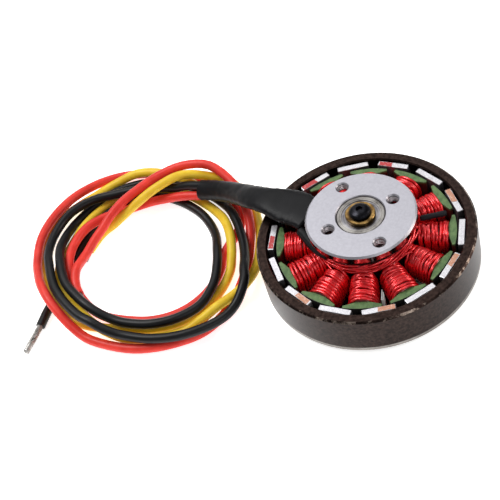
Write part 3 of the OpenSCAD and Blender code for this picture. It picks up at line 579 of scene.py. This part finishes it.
def crossoverBundle(shape, tail):
    draw = random.Random(shape["seed"])
    points, faces = [], []
    for k in range(shape["strands"] + 1):
        # the last strand is the core of the bundle
        away = 0 if k == shape["strands"] else 1
        path = []
        for n in range(shape["steps"]):
            around = math.tau * n / shape["steps"]
            sway = noise.noise(Vector((2 * math.cos(around), 2 * math.sin(around), 5 * k)))
            phase = math.tau * k / shape["strands"] + shape["twists"] * around + shape["phaseSway"] * sway
            across = away * shape["spreadAcross"] * math.cos(phase)
            path.append(polar(shape["radius"] + across + shape["sway"] * sway, math.degrees(around),
                              shape["middle"] + away * shape["spread"] * math.sin(phase)))
        addWire(points, faces, path, shape["wire"] / 2, shape["sides"], upward, True)
    # ends of the windings sweep from their coil into the bundle, two one way and the next two the other
    for index in range(coilShape["count"]):
        tooth = coilShape["firstAngle"] + 360 * index / coilShape["count"]
        side = (-1) ** (index // 2)
        lift = tail["lift"] * draw.uniform(*tail["liftShare"])
        start = side * draw.uniform(*tail["start"])
        sweep = side * draw.uniform(*tail["sweepShare"]) * tail["sweep"]
        rows = [polar(radius, tooth + startShare * start + sweepShare * sweep, height + liftShare * lift)
                for radius, startShare, sweepShare, height, liftShare in tail["rows"]]
        path = [Vector(row) for row in curveThrough(rows, tail["steps"])]
        addWire(points, faces, path, shape["wire"] / 2, shape["sides"], upward)
    return meshPiece("crossover_wires", points, faces, [enamelRed], "stator",
                     ["crossover_bundle"])


crossoverBundle(bundleShape, tailShape)

phaseShape = {
    "rows": [[-12.6, 6.7], [-12.3, 5], [-12.1, 3.3], [-11.9, 1.6], [-11.5, -0.4], [-10.3, -3.2]],
    "level": 14.43, "diameter": 2.4, "steps": 8, "sides": 24,
    "ends": 0.93, "fuller": 0.07, "wrinkle": 0.02, "wrinkleRate": 9,   # shares of the diameter
}


def phaseSleeve(shape):
    path = [Vector((x, y, shape["level"])) for x, y in curveThrough(shape["rows"], shape["steps"])]
    thick = []
    for i in range(len(path)):
        share = i / (len(path) - 1)
        wrinkle = shape["wrinkle"] * noise.noise(Vector((shape["wrinkleRate"] * share, 0, 0)))
        shrunk = shape["ends"] + shape["fuller"] * math.sin(math.pi * share) + wrinkle
        thick.append(shape["diameter"] / 2 * shrunk)
    return tubePiece("phase_wire_sleeve", path, thick, shape["sides"], sleeveBlack, "phase_sleeve")


phaseSleeve(phaseShape)

jointShape = {
    "angle": -17, "inner": 12.63, "outer": 18.6, "level": 13.05, "diameter": 1.4, "sides": 24, "steps": 26,
    # pinched at both ends, fuller where the soldered wires lie inside
    "ends": 0.72, "fuller": 0.28, "fillRate": 7, "fillPower": 0.6,
    "even": 0.96, "uneven": 0.04, "unevenRate": 9,
}
jointTube = shrinkTube("shrinkTubeGrey", "#1b1b1f", "#29292e", 0.45)


def starJoint(shape):
    along = polar(1, shape["angle"])
    path, thick = [], []
    for i in range(shape["steps"] + 1):
        share = i / shape["steps"]
        reach = shape["inner"] + (shape["outer"] - shape["inner"]) * share
        path.append(along * reach + Vector((0, 0, shape["level"])))
        filled = min(1, shape["fillRate"] * share, shape["fillRate"] * (1 - share)) ** shape["fillPower"]
        pinch = shape["ends"] + shape["fuller"] * filled
        uneven = shape["even"] + shape["uneven"] * math.sin(shape["unevenRate"] * share)
        thick.append(shape["diameter"] / 2 * pinch * uneven)
    return tubePiece("star_joint_sleeve", path, thick, shape["sides"], jointTube, "star_joint")


starJoint(jointShape)

# vulcanised fibre, cut and folded: matt grey board with pale fibres
linerFibre = mottled("linerFibre", {"Roughness": 0.7, "IOR": 1.5},
                     {"Scale": perSize(0.5), "Detail": 4, "Roughness": 0.7},
                     (0.35, "#8d8f8e"), (0.65, "#b9bbb9"), (None, 0.3, 0.03))

# strip of slot liner that stands out of one slot, folded once
linerShape = {
    "angle": 242, "from": 16.9, "to": 19.68, "side": 4.36, "thickness": 0.5, "board": 0.19,
    "bottom": 5.45, "top": 13.1, "rows": 8, "foldSteps": 8, "beforeFold": 0.3, "leafShort": 0.7, "worn": 0.12,
}


def slotLiner(shape):
    half = shape["board"] / 2
    fold = (shape["thickness"] - shape["board"]) / 2
    centre = shape["side"] + shape["thickness"] / 2
    foldPlace = shape["to"] - half - fold
    line = [(shape["from"], centre - fold), (foldPlace - shape["beforeFold"], centre - fold)]
    for k in range(shape["foldSteps"] + 1):
        turn = -math.pi / 2 + math.pi * k / shape["foldSteps"]
        line.append((foldPlace + fold * math.cos(turn), centre + fold * math.sin(turn)))
    line.append((shape["from"] + shape["leafShort"], centre + fold))
    plan = [Vector((x, y, 0)) for x, y in line]
    outline = []
    for sign in (1, -1):
        part = []
        for i, point in enumerate(plan):
            along = heading(plan, i)
            part.append(point + sign * half * Vector((-along.y, along.x, 0)))
        outline += part if sign == 1 else part[::-1]
    turn = Matrix.Rotation(math.radians(shape["angle"]), 3, "Z")
    points = []
    for r in range(shape["rows"] + 1):
        level = shape["bottom"] + (shape["top"] - shape["bottom"]) * (r / shape["rows"])
        for k, point in enumerate(outline):
            worn = shape["worn"] * noise.noise(Vector((k * 0.6, 4, 0))) if r == shape["rows"] else 0
            points.append(turn @ point + Vector((0, 0, level - abs(worn))))
    return meshPiece("slot_liner_fold", points, skinFaces(shape["rows"] + 1, len(outline)), [linerFibre],
                     "stator", ["slot_liner"], smooth=False)


slotLiner(linerShape)
print("bundle, sleeves and liner in place")


# marks on the magnets
# smears of copper paint and red lacquer on one half of every second magnet, thin and uneven
def driedSmear(name, colour, fleck, share, metallic):
    return mottled(name, {"Roughness": 0.45, "Metallic": metallic},
                   {"Scale": perSize(0.6), "Detail": 4, "Roughness": 0.7},
                   (share, colour), (share + 0.09, fleck))


magnetShape = {"count": 14, "firstAngle": 20.5, "inner": 20.803, "outer": 22.153, "width": 7.4, "top": 11.8}
markShape = {
    "thickness": 0.05, "inset": 0.1, "stray": 0.12, "strayRate": 1.3, "past": 0.05, "steps": 12,   # mm
    "edge": (-0.5, 0.3), "slant": (-0.4, 0.4), "endGap": (0.1, 0.5), "redOn": (2, 4, 6), "seed": 300,
}
copperSmear = driedSmear("copperSmear", "#c08a70", "#d9b7a6", 0.56, 0.3)
redSmear = driedSmear("redLacquer", "#bd2f33", "#dba7a4", 0.58, 0.0)


def magnetMark(index):
    magnet, mark = magnetShape, markShape
    draw = random.Random(mark["seed"] + index)
    inner, outer = magnet["inner"] + mark["inset"], magnet["outer"] - mark["inset"]
    edge, end = draw.uniform(*mark["edge"]), magnet["width"] / 2 - draw.uniform(*mark["endGap"])
    slanted = edge + draw.uniform(*mark["slant"])
    outline = []
    for (x0, y0), (x1, y1) in (((inner, edge), (outer, slanted)), ((outer, edge), (outer, end)),
                               ((outer, end), (inner, end)), ((inner, end), (inner, edge))):
        for k in range(mark["steps"]):
            share = k / mark["steps"]
            x, y = x0 + (x1 - x0) * share, y0 + (y1 - y0) * share
            shift = mark["stray"] * noise.noise(Vector((mark["strayRate"] * x, mark["strayRate"] * y, index)))
            x = min(max(x + shift, inner - mark["past"]), outer + mark["past"])
            outline.append((x, min(y + shift, end)))
    turn = turnTo(magnet, index)
    levels = (magnet["top"], magnet["top"] + mark["thickness"])
    points = [turn @ Vector((x, y, level)) for level in levels for x, y in outline]
    material = redSmear if index in mark["redOn"] else copperSmear
    return meshPiece("magnet_mark_%d" % index, points, skinFaces(2, len(outline)), [material], "rotor",
                     smooth=False)


for index in range(2, magnetShape["count"] + 1, 2):
    magnetMark(index)

# threads in the four mounting holes
threadShape = {
    "places": ((8, 0), (-8, 0), (0, 9.5), (0, -9.5)), "holeRadius": 1.25, "height": 0.13,   # mm
    "pitch": 0.5, "bottom": 16.85, "top": 18.35, "steps": 28, "halfCrest": 0.2, "fadeTurns": 0.25,
}
# freshly cut threads: bright, paler than the face round them, and made paler still as painted highlight for
# glints on their crests
threadAluminiumPaintedGlint = startMaterial("threadAluminiumPaintedGlint", {
    "Metallic": 1.0, "Roughness": 0.35, "Base Color": linear("#dcd6d8")})[0]


# helical crest that stands a little proud of the hole's wall
def threadCrest(index, place, shape):
    count = int((shape["top"] - shape["bottom"]) / shape["pitch"] * shape["steps"])
    crest, wall = shape["halfCrest"], shape["holeRadius"]
    fadeSteps = shape["fadeTurns"] * shape["steps"]
    points = []
    for n in range(count + 1):
        angle = math.tau * n / shape["steps"]
        level = shape["bottom"] + shape["pitch"] * n / shape["steps"]
        proud = shape["height"] * min(1, n / fadeSteps, (count - n) / fadeSteps)
        for radius, rise in ((wall, -crest), (wall - proud, 0), (wall, crest)):
            points.append(Vector((place[0] + radius * math.cos(angle), place[1] + radius * math.sin(angle),
                                  level + rise)))
    return meshPiece("mounting_thread_%d" % index, points, skinFaces(count + 1, 3), [threadAluminiumPaintedGlint],
                     "stator", smooth=False)


# materials of the solids that stay
zones = {
    # where a finish starts to change and where it has changed, mm from the axis, or mm above the floor
    "discRim": (12.47, 12.49), "collarFace": (2.75, 2.55), "coverBore": (22.6, 22.3),
    "coverFloor": (3.6, 3.9), "toothEnd": (16.5, 18.3), "toothTop": (10.7, 11.42),
    "statorRim": (20.38, 20.44),
    "ringEdge": (36.97, 37),   # distance from the axis plus height, the same all over the outer bevel
}


def whereabouts(material):
    # place, distance from the motor's axis and height of the point that is shaded
    place = addNode(material, "ShaderNodeTexCoord").outputs["Object"]
    level = addNode(material, "ShaderNodeVectorMath", {"operation": "MULTIPLY", 1: (1, 1, 0)}, {0: place})
    radius = addNode(material, "ShaderNodeVectorMath", {"operation": "LENGTH"}, {0: level.outputs["Vector"]})
    split = addNode(material, "ShaderNodeSeparateXYZ", None, {"Vector": place})
    return {"place": place, "radius": radius.outputs["Value"], "height": split.outputs["Z"]}


def fade(material, value, zone):
    # 0 before a zone's start and 1 past its end
    start, end = zones[zone]
    settings = {"From Min": min(start, end) * mm, "From Max": max(start, end) * mm,
                "To Min": float(start > end), "To Max": float(start < end)}
    return addNode(material, "ShaderNodeMapRange", settings, {"Value": value}).outputs["Result"]


def product(material, first, second):
    links = {0: first, 1: second}
    return addNode(material, "ShaderNodeMath", {"operation": "MULTIPLY"}, links).outputs["Value"]


def blendColours(material, factor, first, second):
    # a colour is a socket or a hex colour
    mix = addNode(material, "ShaderNodeMix", {"data_type": "RGBA"}, {"Factor": factor})
    for socket, colour in (("A", first), ("B", second)):
        if isinstance(colour, str):
            mix.inputs[socket].default_value = linear(colour)
        else:
            join(material, colour, mix.inputs[socket])
    return mix.outputs["Result"]


def turnedMetal(name, light, dark, linePitch, lineDepth, cloudSize, roughness=0.5):
    # tool marks run round the axis, so they follow the distance from it, and the height on upright walls
    material, shader = startMaterial(name, {"Metallic": 1.0, "Roughness": roughness})
    parts = whereabouts(material)
    run = addNode(material, "ShaderNodeMath", {"operation": "ADD"}, {0: parts["radius"], 1: parts["height"]})
    lines = addNode(material, "ShaderNodeTexNoise",
                    {"noise_dimensions": "1D", "Scale": perSize(linePitch), "Detail": 2, "Roughness": 0.6},
                    {"W": run.outputs["Value"]})
    cloud = addNode(material, "ShaderNodeTexNoise",
                    {"Scale": perSize(cloudSize), "Detail": 5, "Roughness": 0.62}, {"Vector": parts["place"]})
    blend = addNode(material, "ShaderNodeMath", {"operation": "MULTIPLY_ADD", 1: 0.3},
                    {0: lines.outputs["Fac"], 2: cloud.outputs["Fac"]})
    ramp = addNode(material, "ShaderNodeValToRGB", None, {"Fac": blend.outputs["Value"]})
    setStops(ramp, (0.5, dark), (0.8, light))
    join(material, ramp.outputs["Color"], shader.inputs["Base Color"])
    bump = addNode(material, "ShaderNodeBump", {"Strength": 0.5, "Distance": lineDepth * mm},
                   {"Height": lines.outputs["Fac"]})
    join(material, bump.outputs["Normal"], shader.inputs["Normal"])
    parts.update(shader=shader, run=run.outputs["Value"], colour=ramp.outputs["Color"])
    return material, parts


def paintOver(material, parts, amount, colour):
    # second colour on part of a turned piece
    painted = blendColours(material, amount, parts["colour"], colour)
    join(material, painted, parts["shader"].inputs["Base Color"])
    return material


# 6061 aluminium, turned and clear anodised: pale, satin, with rings too fine to count (0.05 mm, drawn 0.2)
# its rim is burnished and mirrors the coils, and is also painted paler and pink as painted highlight and
# reflection of them
def plateAluminium():
    material, parts = turnedMetal("turnedAluminium", "#adacb3", "#a4a3aa",
                                  linePitch=0.2, lineDepth=0.002, cloudSize=0.6)
    rim = fade(material, parts["radius"], "discRim")
    rough = addNode(material, "ShaderNodeMapRange", {"To Min": 0.42, "To Max": 0.1}, {"Value": rim})
    join(material, rough.outputs["Result"], parts["shader"].inputs["Roughness"])
    # paler pink on the rim: painted highlight and painted reflection of the red coils
    return paintOver(material, parts, rim, "#b9a9a9")


# bearing steel, ground and polished: mirror-like with fine dark rings
bearingSteel = turnedMetal("groundSteel", "#a19e9a", "#45413e",
                           linePitch=0.35, lineDepth=0.003, cloudSize=6, roughness=0.2)[0]
# sheet steel, pressed and spun: rings as dark, with a softer shine
shieldSteel = turnedMetal("pressedShieldSteel", "#a09ea2", "#4c4a4d",
                          linePitch=0.4, lineDepth=0.004, cloudSize=6, roughness=0.3)[0]
# shaft steel, hardened and ground: pale and bright, with marks that hardly show
shaftSteel = turnedMetal("groundShaftSteel", "#cfd0d4", "#a9aab0",
                         linePitch=0.15, lineDepth=0.002, cloudSize=3, roughness=0.16)[0]
# ball steel, lapped: close to a mirror
ballSteel = turnedMetal("polishedBallSteel", "#dedfe3", "#c8c9cd",
                        linePitch=0.6, lineDepth=0.001, cloudSize=2, roughness=0.06)[0]
# screw steel, black oxide: blue-black, oily sheen
screwBlack = turnedMetal("blackOxide", "#2c2c31", "#17171a",
                         linePitch=0.2, lineDepth=0.003, cloudSize=0.8, roughness=0.3)[0]


# brass, turned and tarnished: dull yellow with brown patches, nearly brown on its top face
def collarBrass():
    material, parts = turnedMetal("turnedBrass", "#9c7d4b", "#42301a",
                                  linePitch=0.3, lineDepth=0.004, cloudSize=1.2, roughness=0.24)
    return paintOver(material, parts, fade(material, parts["radius"], "collarFace"), "#3f3020")


# the bell's cover, turned and bead blasted: warm and dull; inside the bell it is painted dark maroon, painted
# shade tinted by the coils' red bounce
def coverAluminium():
    material, parts = turnedMetal("satinAluminium", "#98938e", "#7b7671",
                                  linePitch=0.25, lineDepth=0.005, cloudSize=3, roughness=0.42)
    bore, level = fade(material, parts["radius"], "coverBore"), fade(material, parts["height"], "coverFloor")
    # dark maroon inside the bore and above the cover's floor: painted shade
    return paintOver(material, parts, product(material, bore, level), "#3a1614")


# steel ring, dark nickel plated and turned: brown-black, mottled, worn bright along its outer edge, a broken
# pale band that also stands as painted highlight on the bevel
def ringSteel():
    material, parts = turnedMetal("darkPlatedSteel", "#372b27", "#1d1614",
                                  linePitch=0.22, lineDepth=0.006, cloudSize=0.7, roughness=0.33)
    wearAndPaintedHighlight = addNode(material, "ShaderNodeTexNoise", {"Scale": perSize(3), "Detail": 6, "Roughness": 0.75},
                   {"Vector": parts["place"]})
    patch = addNode(material, "ShaderNodeMapRange", {"From Min": 0.5, "From Max": 0.62},
                    {"Value": wearAndPaintedHighlight.outputs["Fac"]})
    # pale broken band on the outer bevel: wear and painted highlight
    edge = fade(material, parts["run"], "ringEdge")
    return paintOver(material, parts, product(material, edge, patch.outputs["Result"]), "#a8978b")


# neodymium magnets, nickel plated: pale, slightly violet grey with a sandy grain
magnetNickel = mottled("nickelPlate", {"Metallic": 1.0, "Roughness": 0.42},
                       {"Scale": perSize(0.3), "Detail": 3, "Roughness": 0.7},
                       (0.35, "#b4b2b6"), (0.62, "#d6d5d9"), (None, 0.4, 0.02))

# moulded phenolic cage: brown, dull
cageBrown = mottled("cageResin", {"Roughness": 0.5}, {"Scale": perSize(0.7), "Detail": 3},
                    (0.35, "#8c6a35"), (0.65, "#ac8848"))


# silicon steel laminations under sprayed epoxy: mid green on the ends of the teeth, with painted shade in
# dark maroon down in the slots and towards the yoke; the ground outer face is bare steel, drawn near black as
# painted shade
def coatedLaminations():
    material, shader = startMaterial("greenEpoxyCoat", {"Roughness": 0.48, "Specular IOR Level": 0.35})
    parts = whereabouts(material)
    mottle = addNode(material, "ShaderNodeTexNoise", {"Scale": perSize(1), "Detail": 5, "Roughness": 0.68},
                     {"Vector": parts["place"]})
    ramp = addNode(material, "ShaderNodeValToRGB", None, {"Fac": mottle.outputs["Fac"]})
    setStops(ramp, (0.38, "#466339"), (0.64, "#688551"))
    # green only on the tops of the teeth's ends; lower and further in, dark maroon painted shade
    thick = product(material, fade(material, parts["radius"], "toothEnd"),
                    fade(material, parts["height"], "toothTop"))
    coatWithPaintedShade = blendColours(material, thick, "#4a1613", ramp.outputs["Color"])
    # outer face: bare steel, made near black as painted shade
    bare = fade(material, parts["radius"], "statorRim")
    join(material, blendColours(material, bare, coatWithPaintedShade, "#232120"), shader.inputs["Base Color"])
    # plates are 0.2 mm thick and are drawn 0.4 mm, so that they show
    halfPlate = 0.2
    plates = addNode(material, "ShaderNodeMath", {"operation": "PINGPONG", 1: halfPlate * mm},
                     {0: parts["height"]})
    steps = addNode(material, "ShaderNodeMath", {"operation": "MULTIPLY", 1: perSize(halfPlate)},
                    {0: plates.outputs["Value"]})
    bump = addNode(material, "ShaderNodeBump", {"Strength": 0.5, "Distance": 0.04 * mm},
                   {"Height": steps.outputs["Value"]})
    join(material, bump.outputs["Normal"], shader.inputs["Normal"])
    return material


edgeShape = {"magnet": 0.15, "stator": 0.12, "weld": 0.002, "segments": 2, "sharperThan": 40}   # mm, degrees


def roundEdges(nodeName, width):
    # broken edges, which the solids leave sharp
    piece = nodes[nodeName]
    weld = piece.modifiers.new("weld", "WELD")
    weld.merge_threshold = edgeShape["weld"] * mm
    bevel = piece.modifiers.new("brokenEdges", "BEVEL")
    bevel.width = width * mm
    bevel.segments = edgeShape["segments"]
    bevel.limit_method = "ANGLE"
    bevel.angle_limit = math.radians(edgeShape["sharperThan"])


def dress(nodeName, material):
    # a CAD node whose shape is right takes a better material
    piece = nodes[nodeName]
    if not piece.material_slots:
        piece.data.materials.append(material)
    for slot in piece.material_slots:
        slot.material = material


finishes = {
    "base_mount": plateAluminium(), "bell_cover": coverAluminium(), "flux_ring": ringSteel(),
    "stator_core": coatedLaminations(), "shaft": shaftSteel, "hub_spacer": shaftSteel,
    "collar": collarBrass(), "cap_screw": screwBlack,
}
for bearing in ("base_bearing", "hub_bearing"):
    finishes.update({bearing + "_outer": bearingSteel, bearing + "_inner": bearingSteel,
                     bearing + "_balls": ballSteel, bearing + "_cage": cageBrown,
                     bearing + "_shields": shieldSteel})
for index in range(1, magnetShape["count"] + 1):
    finishes["magnet_%d" % index] = magnetNickel
    roundEdges("magnet_%d" % index, edgeShape["magnet"])
roundEdges("stator_core", edgeShape["stator"])
for nodeName, material in finishes.items():
    dress(nodeName, material)
for index, place in enumerate(threadShape["places"], 1):
    threadCrest(index, place, threadShape)
print("solids finished")

# floor and light: white sweep, large soft boxes, hardly a shadow
studio = {
    "floorSize": 4, "floorLevel": -0.0001, "world": 0.3,   # m
    "floorGlow": 0.75, "glowFrom": 20, "glowTo": 24,       # mm from the motor's axis
    # name: place, what it points at, width, watts, colour
    "boxes": {
        "keyBox": ((-0.35, 0.3, 0.75), (0, 0, 0), 0.4, 4.4, "#ffffff"),
        "backBox": ((0.1, 0.55, 0.72), (0, 0, 0), 0.7, 2.3, "#ffffff"),
        "sideBox": ((0.7, -0.2, 0.3), (0, 0, 0), 0.3, 1.7, "#fff6ee"),
        "frontBox": ((0.1, -0.72, 0.6), (0, 0, 0), 0.4, 1.0, "#ffffff"),
    },
}


def layFloor(setup):
    half, level = setup["floorSize"] / 2, setup["floorLevel"]
    corners = [(x * half, y * half, level) for x, y in ((-1, -1), (1, -1), (1, 1), (-1, 1))]
    data = bpy.data.meshes.new("whiteFloor")
    data.from_pydata(corners, [], [(0, 1, 2, 3)])
    material, shader = startMaterial("whitePaper", {
        "Base Color": linear("#fafafa"), "Roughness": 0.9, "Specular IOR Level": 0.1,
        "Emission Color": linear("#ffffff"),
    })
    # the glow stands for light from all round, and none of it comes in under the bell
    glow = addNode(material, "ShaderNodeMapRange", {
        "From Min": setup["glowFrom"] * mm, "From Max": setup["glowTo"] * mm, "To Max": setup["floorGlow"],
    }, {"Value": whereabouts(material)["radius"]})
    join(material, glow.outputs["Result"], shader.inputs["Emission Strength"])
    data.materials.append(material)
    floor = bpy.data.objects.new("whiteFloor", data)
    bpy.context.collection.objects.link(floor)


def hangBox(name, place, target, width, watts, colour):
    data = bpy.data.lights.new(name, "AREA")
    data.shape = "SQUARE"
    data.size = width
    data.energy = watts
    data.color = linear(colour)[:3]
    box = bpy.data.objects.new(name, data)
    box.location = place
    box.rotation_euler = (Vector(target) - Vector(place)).to_track_quat("-Z", "Y").to_euler()
    bpy.context.collection.objects.link(box)


layFloor(studio)
for name, settings in studio["boxes"].items():
    hangBox(name, *settings)
world = bpy.data.worlds.new("studioWorld")
world.use_nodes = True
background = world.node_tree.nodes["Background"]
background.inputs["Color"].default_value = linear("#ffffff")
background.inputs["Strength"].default_value = studio["world"]
bpy.context.scene.world = world
bpy.context.scene.view_settings.view_transform = "Standard"
print("studio lit")
